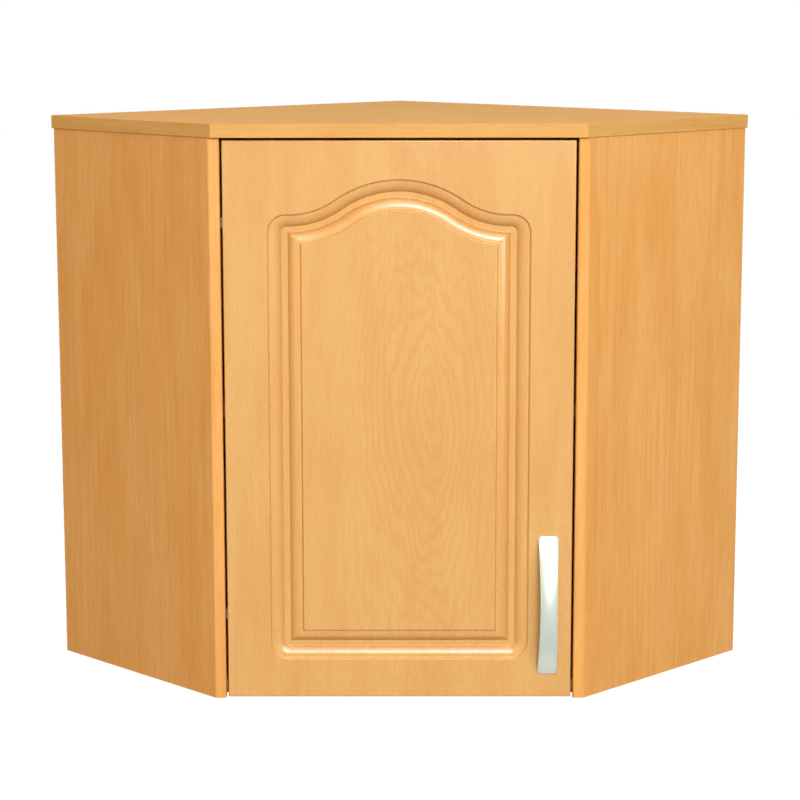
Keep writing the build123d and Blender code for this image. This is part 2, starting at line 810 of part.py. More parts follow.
with BuildPart() as handle:
    # section at the middle of the bow: x to the right, y out of the door
    with BuildSketch(Plane((handle_x, face_y, handle_middle), x_dir=(1, 0, 0), z_dir=(0, 0, -1))):
        end = handle_end_width / 2
        front = handle_rise - handle_crown
        back = handle_rise - handle_thickness
        with BuildLine():
            ThreePointArc((-end, front), (0, handle_rise), (end, front))
            Polyline((end, front), (end, back), (-end, back), (-end, front))
        make_face()
    revolve(axis=bow_axis, revolution_arc=bow_angle)
    mirror(about=Plane.XY.offset(handle_middle))
    with Locations(*handle_foot_places):
        Cylinder(handle_boss_radius, handle_boss_height, align=BASE)
    # flat facets at both ends, seen from the side: x up the door, y out of it
    facet_start = half_length - facet_length
    facet_height = bow_middle + sqrt(bow_radius**2 - facet_start**2)
    with BuildSketch(handle_side):
        Polygon(
            (facet_start, facet_height),
            (half_length, facet_end_thickness),
            (half_length, facet_height),
            align=None,
        )
        mirror(about=Plane.YZ)
    extrude(amount=handle_end_width, both=True, mode=Mode.SUBTRACT)
    # front view: waisted sides and rounded ends
    with BuildSketch(on_front(handle_x, handle_middle)) as handle_front:
        waist = handle_mid_width / 2
        with BuildLine():
            Line((-end, -half_length), (end, -half_length))
            ThreePointArc((end, -half_length), (waist, 0), (end, half_length))
            Line((end, half_length), (-end, half_length))
            ThreePointArc((-end, half_length), (-waist, 0), (-end, -half_length))
        make_face()
        fillet(handle_front.vertices(), handle_corner_radius)
    extrude(amount=2 * handle_rise, mode=Mode.INTERSECT)
    drill_holes(handle_foot_places, handle_screw_radius, handle_screw_in_foot)

with BuildPart() as handle_screws:
    screw(
        handle_screw_places,
        handle_screw_radius,
        door_thickness + handle_screw_in_foot,
        handle_screw_head_radius,
        handle_screw_head,
    )


# ------------------------------------------------------------------ cup hinges
# Plan frame of a hinge: x to the right from the door's left edge, y into the cabinet
# from the door's back, z up from the hinge's middle.
ear_start = nose_half_width + ear_clearance
pin_half = ear_start + ear_thickness
floor_y = cup_floor - cup_depth
pivot = (pivot_inset, -pivot_depth)
pivot_place = (door_left_x + pivot_inset, door_back_y - pivot_depth)
leg_x = pivot_inset + neck_reach
arm_middle_y = arm_y - neck_thickness / 2
arm_middle_z = arm_top - neck_thickness / 2
# the neck turns where its middle line meets the arm's, at 45 degrees
arm_turn_x = ROOT2 * arm_middle_z - arm_middle_y - door_side_gap + strip_end_y - door_back_y


def hinge_plan(height, z=0.0):
    return Plane((door_left_x, door_back_y, height + z))


def hinge_cup(height):
    with BuildPart() as cup:
        with Locations(on_plane(cup_place(height), 0, 0, -cup_depth)):
            Cylinder(cup_radius, cup_depth, align=BASE)
        with BuildSketch(cup_place(height)):
            Circle(cup_radius + cup_rim)
            with Locations((cup_screw_offset / 2, 0)):
                RectangleRounded(cup_flange_width, cup_flange_height, cup_flange_radius)
        extrude(amount=cup_flange)
        with Locations(on_plane(cup_place(height), 0, 0, floor_y)):
            Cylinder(cup_radius - cup_wall, 2 * cup_depth, align=BASE, mode=Mode.SUBTRACT)
        for start in (ear_start, -pin_half):
            with BuildSketch(hinge_plan(height, start)):
                with Locations(pivot):
                    Circle(eye_radius)
                with Locations((pivot_inset, (floor_y - pivot_depth) / 2)):
                    Rectangle(2 * eye_radius, -floor_y - pivot_depth)
            extrude(amount=ear_thickness)
        with Locations((*pivot_place, height)):
            Cylinder(pivot_radius, 2 * pin_half, mode=Mode.SUBTRACT)
        with Locations(*cup_screw_places(height)):
            Cylinder(cup_screw_radius + fit_clearance, 4 * cup_flange, mode=Mode.SUBTRACT)
    return cup


def hinge_pin(height):
    with BuildPart() as pin:
        with Locations((*pivot_place, height)):
            Cylinder(pivot_radius, 2 * pin_half)
    return pin


def hinge_spring(height):
    """Leaf on the cup's floor, under the eye of the arm."""
    with BuildPart() as leaf:
        with Locations(hinge_plan(height)):
            with Locations((pivot_inset - eye_radius, floor_y, 0)):
                Box(leaf_length, leaf_thickness, leaf_width, align=(Align.MIN, Align.MIN, Align.CENTER))
    return leaf


def hinge_arm(height):
    """Gooseneck arm: out of the cup, round the door's edge and along the side panel."""
    with BuildPart() as arm:
        with BuildSketch(hinge_plan(height)):
            with BuildLine():
                FilletPolyline(
                    pivot,
                    (leg_x - neck_bend, neck_rise - pivot_depth),
                    (leg_x, neck_rise + neck_bend - pivot_depth),
                    (leg_x, arm_middle_y),
                    (arm_turn_x, arm_middle_y),
                    (arm_turn_x - arm_overlap, arm_middle_y + arm_overlap),
                    radius=neck_radius,
                )
            trace(line_width=neck_thickness)
            with Locations(pivot):
                Circle(eye_radius)
        extrude(amount=nose_half_width, both=True)
        with Locations(on_plane(left_inner, arm_front_x, height)):
            with Locations((0, 0, base_thickness + fit_clearance)):
                Box(arm_length, arm_width, arm_top - base_thickness - fit_clearance, align=FRONT_BASE)
            Box(
                2 * (arm_length + hole_relief),
                rail_width + 2 * fit_clearance,
                2 * (rail_top + fit_clearance),
                mode=Mode.SUBTRACT,
            )
        with Locations((*pivot_place, height)):
            Cylinder(pivot_radius + pivot_clearance, 3 * nose_half_width, mode=Mode.SUBTRACT)
        with Locations(*arm_screw_places(height)):
            Cylinder(arm_screw_radius + fit_clearance, 3 * neck_thickness, mode=Mode.SUBTRACT)
    return arm


def hinge_mounting_plate(height):
    with BuildPart() as plate:
        with BuildSketch(on_plane(left_inner, plate_x, height)):
            RectangleRounded(base_length, base_height, base_length / 4)
        extrude(amount=base_thickness)
        with Locations(on_plane(left_inner, plate_x, height)):
            Box(rail_length, rail_width, rail_top, align=BASE)
        with Locations(*plate_screw_places(height)):
            Cylinder(plate_screw_radius + fit_clearance, 4 * base_thickness, mode=Mode.SUBTRACT)
        with Locations(*arm_screw_places(height)):
            Cylinder(
                arm_screw_radius + fit_clearance,
                2 * (arm_top - rail_top + arm_screw_grip + fit_clearance),
                mode=Mode.SUBTRACT,
            )
    return plate


def hinge_screws(height):
    with BuildPart() as arm_screws:
        screw(
            arm_screw_places(height),
            arm_screw_radius,
            arm_top - rail_top + arm_screw_grip,
            arm_screw_head_radius,
            arm_screw_head,
        )
    with BuildPart() as plate_screws:
        screw(
            plate_screw_places(height),
            plate_screw_radius,
            plate_screw_length,
            plate_screw_head_radius,
            plate_screw_head,
            lift=base_thickness,
        )
    with BuildPart() as cup_screws:
        screw(
            cup_screw_places(height),
            cup_screw_radius,
            cup_screw_length,
            cup_screw_head_radius,
            cup_screw_head,
            lift=cup_flange,
        )
    return arm_screws, plate_screws, cup_screws


# ------------------------------------------------------------------ labels and files
pieces = {
    "top_board": top_board,
    "top_edge_band": top_edge_band,
    "bottom_board": bottom_board,
    "bottom_edge_band": bottom_edge_band,
    "right_side_panel": right_side_panel,
    "left_side_panel": left_side_panel,
    "right_back_panel": right_back_panel,
    "left_back_panel": left_back_panel,
    "corner_post": corner_post,
    "shelf": shelf,
    "shelf_edge_band": shelf_edge_band,
    "shelf_pins": shelf_pins,
    "cam_bolts": cam_bolts,
    "cams": cams,
    "dowels": dowels,
    "back_nails": back_nails,
    "right_hanger_housing": right_hanger_housing,
    "right_hanger_hook": right_hanger_hook,
    "right_wall_plate": right_wall_plate,
    "right_hanger_screws": right_hanger_screws,
    "right_hanger_adjusters": right_hanger_adjusters,
    "left_hanger_housing": left_hanger_housing,
    "left_hanger_hook": left_hanger_hook,
    "left_wall_plate": left_wall_plate,
    "left_hanger_screws": left_hanger_screws,
    "left_hanger_adjusters": left_hanger_adjusters,
    "door_leaf": door_leaf,
    "door_bumpers": door_bumpers,
    "handle": handle,
    "handle_screws": handle_screws,
}

for level, height in zip(("lower", "upper"), hinge_heights):
    arm_screws, plate_screws, cup_screws = hinge_screws(height)
    pieces[f"{level}_hinge_cup"] = hinge_cup(height)
    pieces[f"{level}_hinge_pin"] = hinge_pin(height)
    pieces[f"{level}_hinge_spring"] = hinge_spring(height)
    pieces[f"{level}_hinge_arm"] = hinge_arm(height)
    pieces[f"{level}_hinge_mounting_plate"] = hinge_mounting_plate(height)
    pieces[f"{level}_hinge_arm_screws"] = arm_screws
    pieces[f"{level}_hinge_plate_screws"] = plate_screws
    pieces[f"{level}_hinge_cup_screws"] = cup_screws

for name, builder in pieces.items():
    save(builder, name)
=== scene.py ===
# %% [markdown]
# # A corner wall cabinet with a routed arch door
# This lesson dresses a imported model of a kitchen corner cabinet. Every piece already has its real
# size and place in the frame, so each step only asks how the real piece looks, how it could be made
# in Blender, and which way suits it best. Lengths are in metres, except for the patterns of the
# finishes, which are in millimetres. +Z is up and the door faces -Y.

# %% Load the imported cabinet
from math import asin, cos, degrees, pi, radians, sin, sqrt

import bmesh
import bpy
from mathutils import Matrix, Vector


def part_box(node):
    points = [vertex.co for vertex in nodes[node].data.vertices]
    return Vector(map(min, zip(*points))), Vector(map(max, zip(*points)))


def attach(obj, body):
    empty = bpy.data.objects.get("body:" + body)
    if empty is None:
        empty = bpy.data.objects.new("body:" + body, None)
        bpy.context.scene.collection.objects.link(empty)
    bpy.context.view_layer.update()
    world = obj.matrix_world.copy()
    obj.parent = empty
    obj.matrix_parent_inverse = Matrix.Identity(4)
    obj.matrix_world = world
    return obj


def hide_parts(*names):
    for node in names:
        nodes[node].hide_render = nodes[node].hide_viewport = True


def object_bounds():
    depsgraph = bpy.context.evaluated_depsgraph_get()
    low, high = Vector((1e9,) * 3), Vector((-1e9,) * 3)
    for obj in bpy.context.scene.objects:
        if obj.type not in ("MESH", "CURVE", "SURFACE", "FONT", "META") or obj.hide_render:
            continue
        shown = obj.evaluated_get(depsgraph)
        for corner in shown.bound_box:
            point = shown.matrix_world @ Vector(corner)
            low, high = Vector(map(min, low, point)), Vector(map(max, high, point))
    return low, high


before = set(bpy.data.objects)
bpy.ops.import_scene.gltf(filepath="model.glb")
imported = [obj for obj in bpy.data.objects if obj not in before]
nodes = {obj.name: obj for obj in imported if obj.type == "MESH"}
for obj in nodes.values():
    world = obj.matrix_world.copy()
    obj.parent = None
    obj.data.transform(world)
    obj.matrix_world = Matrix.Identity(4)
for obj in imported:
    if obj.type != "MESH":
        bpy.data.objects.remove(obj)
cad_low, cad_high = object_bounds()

MM = 0.001

# %% [markdown]
# ## The camera first
# The photograph looks at the middle of the door from far away and a little above, so upright edges
# stay almost upright. A long lens at the measured place gives the same picture. The camera is aimed
# by three small turns, and its lens follows from the focal length in pixels on a 36 mm sensor.

# %% Camera
photo_width = 800
focal_pixels = 2312.0
camera_place = Vector((0.0072, -2.8322, 0.8050))
camera_pitch = 0.1693
camera_yaw = 0.0024
camera_roll = -0.0009

camera_data = bpy.data.cameras.new("photo_camera")
camera_data.sensor_width = 36.0
camera_data.lens = focal_pixels / photo_width * camera_data.sensor_width
camera_data.clip_start = 0.1
camera_data.clip_end = 60.0
camera = bpy.data.objects.new("photo_camera", camera_data)
bpy.context.scene.collection.objects.link(camera)
turn = Matrix.Rotation(camera_yaw, 4, "Z") @ Matrix.Rotation(pi / 2 - camera_pitch, 4, "X")
camera.matrix_world = Matrix.Translation(camera_place) @ turn @ Matrix.Rotation(camera_roll, 4, "Z")
bpy.context.scene.camera = camera
bpy.context.scene.view_settings.view_transform = "Standard"
print("lens", round(camera_data.lens, 2), "mm")

# %% [markdown]
# ## A small language for materials
# Node trees are sums and mixtures. They can be drawn by hand in the editor, but here they read best
# as expressions. `Socket` wraps an output of a node, and adding or multiplying two of them adds a
# Math node. `Tree` has one method, `add`, for every other node, and `Finish` is a material's tree.

# %% Sums of sockets
class Socket:
    """An output of a node that can be used in sums."""

    def __init__(self, tree, socket):
        self.tree = tree
        self.socket = socket

    def math(self, operation, *values):
        return self.tree.add("Math", {"operation": operation}, *values)

    def __add__(self, other):
        return self.math("ADD", self, other)

    def __radd__(self, other):
        return self.math("ADD", other, self)

    def __sub__(self, other):
        return self.math("SUBTRACT", self, other)

    def __rsub__(self, other):
        return self.math("SUBTRACT", other, self)

    def __mul__(self, other):
        return self.math("MULTIPLY", self, other)

    def __rmul__(self, other):
        return self.math("MULTIPLY", other, self)

    def __truediv__(self, other):
        return self.math("DIVIDE", self, other)

    def __rtruediv__(self, other):
        return self.math("DIVIDE", other, self)

    def root(self):
        return self.math("SQRT", self)

    def sine(self):
        return self.math("SINE", self)

    def size(self):
        return self.math("ABSOLUTE", self)

    def larger(self, other):
        return self.math("MAXIMUM", self, other)

    def above(self, low, high):
        """0 below low, 1 above high, with a soft step between them."""
        settings = {"interpolation_type": "SMOOTHSTEP"}
        return self.tree.add("MapRange", settings, self, low, high, 0.0, 1.0)


# %% Node trees
class Tree:
    """A node tree whose new nodes all come from one method."""

    def __init__(self, node_tree):
        self.nodes = node_tree.nodes
        self.links = node_tree.links

    def add(self, kind, settings, *values, output=0, **named):
        """A node: its settings first, then its inputs in order or by name."""
        node = self.nodes.new("ShaderNode" + kind)
        for key, value in settings.items():
            setattr(node, key, value)
        sockets = [socket for socket in node.inputs if socket.enabled]
        for socket, value in zip(sockets, values):
            self.feed(socket, value)
        for key, value in named.items():
            self.feed(node.inputs[key], value)
        return Socket(self, node.outputs[output])

    def feed(self, socket, value):
        if isinstance(value, Socket):
            self.links.new(value.socket, socket)
        else:
            socket.default_value = value

    def split(self, vector):
        """The x, y and z of a vector."""
        outputs = self.add("SeparateXYZ", {}, vector).socket.node.outputs
        return [Socket(self, output) for output in outputs]

    def mix(self, factor, first, second):
        """A colour between two colours."""
        return self.add("Mix", {"data_type": "RGBA"}, factor, first, second, output=2)


# %% Finishes
class Finish(Tree):
    """A material with one Principled shader, built from expressions."""

    def __init__(self, name, roughness=0.5, metallic=0.0, gloss=0.5):
        self.material = bpy.data.materials.new(name)
        self.material.use_nodes = True
        super().__init__(self.material.node_tree)
        self.shader = self.nodes["Principled BSDF"]
        self.set(Roughness=roughness, Metallic=metallic, Specular_IOR_Level=gloss)
        self.place = self.add("TexCoord", {}, output="Object")

    def axes(self):
        """The three coordinates of a point, in millimetres."""
        return self.split(self.add("VectorMath", {"operation": "SCALE"}, self.place, Scale=1 / MM))

    def noise(self, cell, detail=2.0, seed=0.0, distortion=0.0):
        """Soft noise whose lumps measure about cell = (x, y, z) millimetres."""
        scale = [1 / (size * MM) for size in cell]
        shift = (seed, seed * 1.7, seed * 0.6)
        moved = self.add("Mapping", {}, self.place, Location=shift, Scale=scale)
        return self.add("TexNoise", {}, Vector=moved, Scale=1.0, Detail=detail, Distortion=distortion)

    def bump(self, height, depth):
        """Feeds a bump of that depth in millimetres to the shader."""
        bumped = self.add("Bump", {}, Height=height, Distance=depth * MM, Strength=1.0)
        self.feed(self.shader.inputs["Normal"], bumped)

    def set(self, **named):
        """Feeds inputs of the shader, named with an underscore for each space."""
        for key, value in named.items():
            self.feed(self.shader.inputs[key.replace("_", " ")], value)


# %% Screen colours
def colour(red, green, blue):
    """A screen colour, 0 to 255, as the linear colour that a shader takes."""

    def linear(channel):
        share = channel / 255
        return share / 12.92 if share <= 0.04045 else ((share + 0.055) / 1.055) ** 2.4

    return (linear(red), linear(green), linear(blue), 1.0)


print("mid grey of a screen is", round(colour(128, 128, 128)[0], 3), "in linear light")

# %% [markdown]
# ## The wood foil
# All boards carry a printed wood pattern in warm alder: soft patches of two close tints, long weak
# streaks, fine threads along the grain and a few short dark pores. A photograph of wood would be
# the quick way, but noise that is stretched along the grain keeps its scale on every board and
# stays sharp near by. The parts of the pattern stay faint, because the real print is almost even.

# %% Wood tones
door_tones = (colour(227, 176, 97), colour(220, 162, 81), colour(205, 134, 56))
top_tones = (colour(232, 180, 107), colour(225, 166, 89), colour(210, 138, 62))
board_tones = (colour(248, 188, 112), colour(238, 168, 87), colour(216, 135, 58))
pore_wood = colour(150, 84, 34)
print("door foil in linear light:", [round(channel, 2) for channel in door_tones[1][:3]])

# %% Grain and pattern
least_warm, patch_strength = 0.2, 0.6
thread_strength = 0.22
pore_strength = 0.45


def stretched(grain, across, along):
    """Noise cell with its long side along the grain, given as 'x', 'z' or 'flat'."""
    if grain == "z":
        return (across, across, along)
    if grain == "x":
        return (along, across, across)
    return (along, along, across)


def wood_tone(finish, tones, grain, seed, streaks):
    """Colour of the printed pattern, and the masks of its threads and pores."""
    pale, warm, deep = tones
    # Each cell is given in millimetres, across and along the grain. `above` makes it a mask.
    patch = finish.noise(stretched(grain, 34, 170), 2, seed, 0.6).above(0.30, 0.70)
    streak = finish.noise(stretched(grain, 4.2, 240), 4, seed + 11, 0.3).above(0.42, 0.74)
    thread = finish.noise(stretched(grain, 1.7, 30), 3, seed + 23, 0.2).above(0.42, 0.70)
    pore = finish.noise(stretched(grain, 0.9, 5.5), 1, seed + 37).above(0.70, 0.80)
    tone = finish.mix(patch * patch_strength + least_warm, pale, warm)
    tone = finish.mix(streak * streaks, tone, deep)
    tone = finish.mix(thread * thread_strength, tone, deep)
    return finish.mix(pore * pore_strength, tone, pore_wood), thread, pore


# %% Wood
board_gloss = 0.1
board_roughness = 0.5
thread_roughness = 0.06
thread_height = -0.4
pore_depth = 0.003  # mm, as all depths of a bump


def sink(finish, thread, pore):
    """Lets threads and pores lie a little below the surface."""
    finish.bump(thread * thread_height - pore, pore_depth)


def wood(name, tones, grain, seed, streaks):
    """Printed foil with its grain along x, along z or lying flat along an edge."""
    finish = Finish(name, gloss=board_gloss)
    tone, thread, pore = wood_tone(finish, tones, grain, seed, streaks)
    finish.set(Base_Color=tone, Roughness=board_roughness + thread * thread_roughness)
    sink(finish, thread, pore)
    return finish.material


board_wood = wood("board_wood_upright", board_tones, "z", 61.0, 0.24)
lying_wood = wood("board_wood_lying", board_tones, "x", 74.0, 0.24)
edge_wood = wood("edge_band_wood", top_tones, "flat", 120.0, 0.2)
print("wood finishes:", [made.name for made in (board_wood, lying_wood, edge_wood)])

# %% [markdown]
# The door's pattern has one faint figure, where the board seems to be cut close to its heart: thin
# nested lines round a point of the panel. They are the waves of a sine over the distance from that
# point, with the distance bent by slow noise. The routed slopes also get a deeper colour, a painted
# shade for the groove, and the surface normal tells where a slope is.

# %% Figure of the door
figure_x, figure_z = 34.0, 330.0
figure_width, figure_height = 30.0, 105.0
sideways_bend, upright_bend, line_bend = 2.2, 1.6, 6.0
line_turn = 24.0  # radians of the sine over one width or height
figure_fade = (1.2, 4.5)  # in widths or heights off the middle
print("figure", figure_width, "x", figure_height, "mm round x", figure_x, "and z", figure_z)


def cathedral(finish, seed):
    """Thin nested lines round the figure's middle, fading out with distance."""
    x, _, z = finish.axes()
    sway = finish.noise((90, 400, 260), 3, seed + 51)
    ripple = finish.noise((30, 400, 120), 3, seed + 57)
    across = (x - figure_x) / figure_width + (sway - 0.5) * sideways_bend
    along = (z - figure_z) / figure_height + (ripple - 0.5) * upright_bend
    distance = (across * across + along * along).root()
    line = (distance * line_turn + ripple * line_bend).sine() * 0.5 + 0.5
    near = 1.0 - distance.above(*figure_fade)
    return line * line * near


# %% Painted shade on the slopes of the door
slope_begins = (0.01, 0.30)  # lean of the surface: 0 is flat to the front, 1 is square to it
step_begins = (0.32, 0.45)


def painted_shade_mask(finish):
    """Mask of the painted shade: 1 on the groove's slopes, 0 on flat parts, the steep step and the
    door's edges.
    """
    _, facing, _ = finish.split(finish.add("TexCoord", {}, output="Normal"))
    lean = 1.0 - facing.size()
    return lean.above(*slope_begins) * (1.0 - lean.above(*step_begins))


# %% Door foil
door_seed = 3.0
door_gloss = 0.9
door_roughness = 0.27
door_streaks = 0.12
figure_strength = 0.28
# Painted shade: the deeper colour that the slopes of the groove get in place of their shade.
painted_shade_colour = colour(202, 132, 38)
painted_shade_strength = 0.7


def door_finish():
    finish = Finish("door_foil_wood", gloss=door_gloss)
    tone, thread, pore = wood_tone(finish, door_tones, "z", door_seed, door_streaks)
    tone = finish.mix(cathedral(finish, door_seed) * figure_strength, tone, door_tones[2])
    # Painted shade on the slopes of the groove, picked out by the lean of the surface.
    tone = finish.mix(painted_shade_mask(finish) * painted_shade_strength, tone, painted_shade_colour)
    finish.set(Base_Color=tone, Roughness=door_roughness + thread * thread_roughness)
    sink(finish, thread, pore)
    return finish.material


door_wood = door_finish()
print(door_wood.name, "has", len(door_wood.node_tree.nodes), "nodes")

# %% [markdown]
# ## Raw board and hardboard
# Where no foil reaches, the board shows: pressed chips on the top board's two edges against the
# walls, and smooth brown hardboard on the rear of the back panels. Their places follow from the
# distance off the walls, so one finish can carry foil on its front and bare board on its back.

# %% Distance off the walls
room_corner_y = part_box("top_board")[1].y / MM
print("room corner at y =", round(room_corner_y, 1), "mm")


def off_wall(finish):
    """Distance off the nearer wall, in millimetres."""
    x, y, _ = finish.axes()
    return (room_corner_y - x.size() - y) / sqrt(2)


# %% Top board
chip_tones = (colour(214, 182, 134), colour(178, 138, 90), colour(112, 78, 44))
dark_strength = 0.6
top_gloss = 0.02
top_roughness, bare_roughness = 0.55, 0.85
foil_begins = (0.15, 0.4)  # mm off the wall


def chips(finish, seed):
    """Pressed wood chips: short flakes in three tones."""
    pale, brown, deep = chip_tones
    flake = finish.noise((1.6, 1.6, 0.8), 3, seed).above(0.40, 0.62)
    dark = finish.noise((2.6, 2.6, 1.1), 2, seed + 5).above(0.60, 0.72)
    return finish.mix(dark * dark_strength, finish.mix(flake, pale, brown), deep)


def top_board_finish():
    finish = Finish("top_board_wood_and_chips", gloss=top_gloss)
    tone, thread, pore = wood_tone(finish, top_tones, "x", 87.0, 0.34)
    bare = 1.0 - off_wall(finish).above(*foil_begins)
    finish.set(Base_Color=finish.mix(bare, tone, chips(finish, 40.0)))
    finish.set(Roughness=top_roughness + bare * (bare_roughness - top_roughness))
    sink(finish, thread, pore)
    return finish.material


top_board_material = top_board_finish()
print(top_board_material.name, "has", len(top_board_material.node_tree.nodes), "nodes")

# %% Back panels and dowels
back_rear_off = 3.0  # mm from the wall to the rear of the back panels
hardboard_tones = (colour(176, 128, 82), colour(134, 92, 56))
hardboard_roughness, inside_roughness = 0.62, 0.44
fibre_depth = 0.03


def back_panel_finish():
    finish = Finish("back_panel_foil_and_hardboard", gloss=board_gloss)
    tone, _, _ = wood_tone(finish, board_tones, "z", 140.0, 0.3)
    fibre = finish.noise((0.8, 0.8, 0.5), 4, 9.0)
    cloud = finish.noise((40, 40, 60), 3, 12.0)
    brown = finish.mix(cloud * 0.5 + fibre * 0.4, *hardboard_tones)
    front = off_wall(finish).above(back_rear_off + 0.05, back_rear_off + 0.3)
    finish.set(Base_Color=finish.mix(front, brown, tone))
    finish.set(Roughness=hardboard_roughness + front * (inside_roughness - hardboard_roughness))
    finish.bump(fibre * (1.0 - front), fibre_depth)
    return finish.material


back_panel_material = back_panel_finish()
beech_tones = (colour(226, 196, 150), colour(214, 178, 128), colour(190, 148, 98))
dowel_wood = wood("dowel_beech", beech_tones, "z", 17.0, 0.3)
print("bare board finishes:", back_panel_material.name, "and", dowel_wood.name)

# %% [markdown]
# ## Satin metal, zinc, plastic and rubber
# The handle is satin nickel, and where its facets are cut it is a little brighter and glossier, the
# brighter colour a painted highlight. Fittings are bright plated steel or dull die-cast zinc, the
# bracket housings are plastic, and the door bumpers pale rubber. An even grey would do from far away,
# but near by it looks drawn. So a slow cloud and a fine grain vary the colour and the gloss a little,
# which breaks up the reflections as on real castings.

# %% Metals
cloud_strength = 0.6
cloud_roughness, fine_roughness = 0.06, 0.08
fine_depth = 0.003


def metal(name, tint, shade, roughness, lump):
    """Plated or cast metal with a slow cloud in its colour and gloss."""
    finish = Finish(name, roughness=roughness, metallic=1.0)
    cloud = finish.noise((lump, lump, lump), 3, 5.0).above(0.3, 0.7)
    fine = finish.noise((0.3, 0.3, 0.3), 2, 9.0)
    finish.set(Base_Color=finish.mix(cloud * cloud_strength, tint, shade))
    uneven = (cloud - 0.5) * cloud_roughness + (fine - 0.5) * fine_roughness
    finish.set(Roughness=roughness + uneven)
    finish.bump(fine, fine_depth)
    return finish.material


handle_metal = metal("handle_satin_nickel", colour(200, 209, 199), colour(191, 200, 190), 0.42, 20.0)
# A brighter, less rough copy of the handle's metal: a painted highlight on the facets.
painted_highlight_facet_metal = metal("handle_facet_nickel_painted_highlight", colour(207, 214, 205), colour(199, 206, 197), 0.34, 20.0)
steel = metal("plated_steel", colour(205, 208, 210), colour(186, 189, 190), 0.27, 9.0)
spring_steel = metal("spring_steel", colour(176, 178, 180), colour(150, 152, 156), 0.22, 5.0)
zinc = metal("zinc_casting", colour(178, 181, 184), colour(158, 160, 164), 0.44, 4.0)
print("metals:", [made.name for made in (handle_metal, painted_highlight_facet_metal, steel, spring_steel, zinc)])

# %% Plastic and rubber
grain_strength = 0.5
grain_roughness = 0.12
grain_depth = 0.01


def plastic(name, tint, shade, roughness):
    """Moulded plastic with a fine matt grain."""
    finish = Finish(name, roughness=roughness)
    grain = finish.noise((0.5, 0.5, 0.5), 2, 4.0)
    cloud = finish.noise((14, 14, 14), 2, 6.0)
    finish.set(Base_Color=finish.mix(cloud * grain_strength, tint, shade))
    finish.set(Roughness=roughness + (grain - 0.5) * grain_roughness)
    finish.bump(grain, grain_depth)
    return finish.material


housing_plastic = plastic("housing_plastic", colour(236, 234, 228), colour(226, 223, 214), 0.45)
bumper_rubber = plastic("bumper_rubber", colour(222, 220, 212), colour(205, 203, 196), 0.3)
print("plastics:", housing_plastic.name, "and", bumper_rubber.name)

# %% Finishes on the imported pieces
slot_finish = {
    "worktop_board": top_board_material,
    "edge_band": edge_wood,
    "carcass_board": board_wood,
    "door_foil": door_wood,
    "back_board": back_panel_material,
    "dowel_wood": dowel_wood,
    "handle_metal": handle_metal,
    "bumper": bumper_rubber,
    "hanger_plastic": housing_plastic,
    "zinc": zinc,
    "plated_steel": steel,
}
for name, node in nodes.items():
    for slot in node.material_slots:
        slot.material = slot_finish[slot.material.name]
for name in ("bottom_board", "shelf"):
    nodes[name].material_slots[0].material = lying_wood
for name in ("lower_hinge_spring", "upper_hinge_spring"):
    nodes[name].material_slots[0].material = spring_steel
print("finishes on", len(nodes), "nodes")

# %% [markdown]
# ## Drawing outlines with a pen
# Routed doors are made by a cutter that follows a template, so the outline is what matters. A pen
# that extrudes a vertex for each straight run and spins it for each arc draws the template with two
# short methods, and the mirror operator adds the other half.

# %% Pen
class Pen:
    """Draws a line of edges in an upright plane that faces the room."""

    def __init__(self, mesh, x, y, z):
        self.mesh = mesh
        self.y = y
        self.tip = mesh.verts.new((x, y, z))

    def line(self, x, z):
        self.tip = bmesh.ops.extrude_vert_indiv(self.mesh, verts=[self.tip])["verts"][0]
        self.tip.co = (x, self.y, z)

    def arc(self, x, z, angle, steps):
        """Clockwise for a positive angle, seen from the room."""
        made = bmesh.ops.spin(
            self.mesh, geom=[self.tip], cent=(x, self.y, z), axis=(0, 1, 0), angle=angle, steps=steps
        )
        self.tip = made["geom_last"][0]


# %% Halves and pieces
same_place = 0.001 * MM


def both_halves(mesh):
    """Mirrors what was drawn across the middle plane."""
    drawn = mesh.verts[:] + mesh.edges[:] + mesh.faces[:]
    bmesh.ops.mirror(mesh, geom=drawn, axis="X", merge_dist=same_place)
    bmesh.ops.remove_doubles(mesh, verts=mesh.verts, dist=same_place)


def put_in_scene(mesh, name, materials, body, replaced, sharp=28):
    """Turns a bmesh into a piece that rides on a body and stands for a CAD node.

    Edges that turn by more than `sharp` degrees stay sharp."""
    bmesh.ops.recalc_face_normals(mesh, faces=mesh.faces)
    data = bpy.data.meshes.new(name)
    mesh.to_mesh(data)
    mesh.free()
    for material in materials:
        data.materials.append(material)
    piece = bpy.data.objects.new(name, data)
    bpy.context.scene.collection.objects.link(piece)
    data.shade_smooth()
    data.set_sharp_from_angle(angle=radians(sharp))
    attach(piece, body)
    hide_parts(replaced)
    print(name, len(data.polygons), "faces")


print("points closer than", same_place / MM, "mm are merged")

# %% [markdown]
# ## The routed door
# The real door is one board of fibreboard, routed along a template and then wrapped with foil,
# which leaves every arris softly rounded. It could be lofted or sculpted. Here each ring of the
# cutter's profile is drawn with the pen, parallel to the template and at its own depth, and the
# rings are bridged, so the slopes are exactly as wide and deep as the cutter makes them.

# %% Sizes of the groove
door_low, door_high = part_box("door_leaf")
door_face = door_low.y
door_half = door_high.x
door_edge_radius = 1.5 * MM
floor_width = 7.0 * MM
groove_low = 64.9 * MM  # height of the groove's middle line in the bottom run
groove_crown = 592.2 * MM  # height of its middle line at the top of the arch
groove_side_margin = 70.0 * MM
arch_radius = 110.0 * MM
arch_angle = radians(35)
lying_share = 0.9  # lying runs of the groove are a little narrower than upright ones
slope_width = 14.4 * MM
groove_depth = 8.5 * MM
step_depth = 3.0 * MM
step_lean = 1.7 * MM
slope_bulge = 2.4  # above 1, the slope steepens towards the floor
groove_corner = 6.5 * MM
groove_half = door_half - groove_side_margin
print("door", [round(v / MM, 1) for v in door_high - door_low], "mm")

# %% Half a ring of the groove
arch_steps = 18
corner_steps = 10


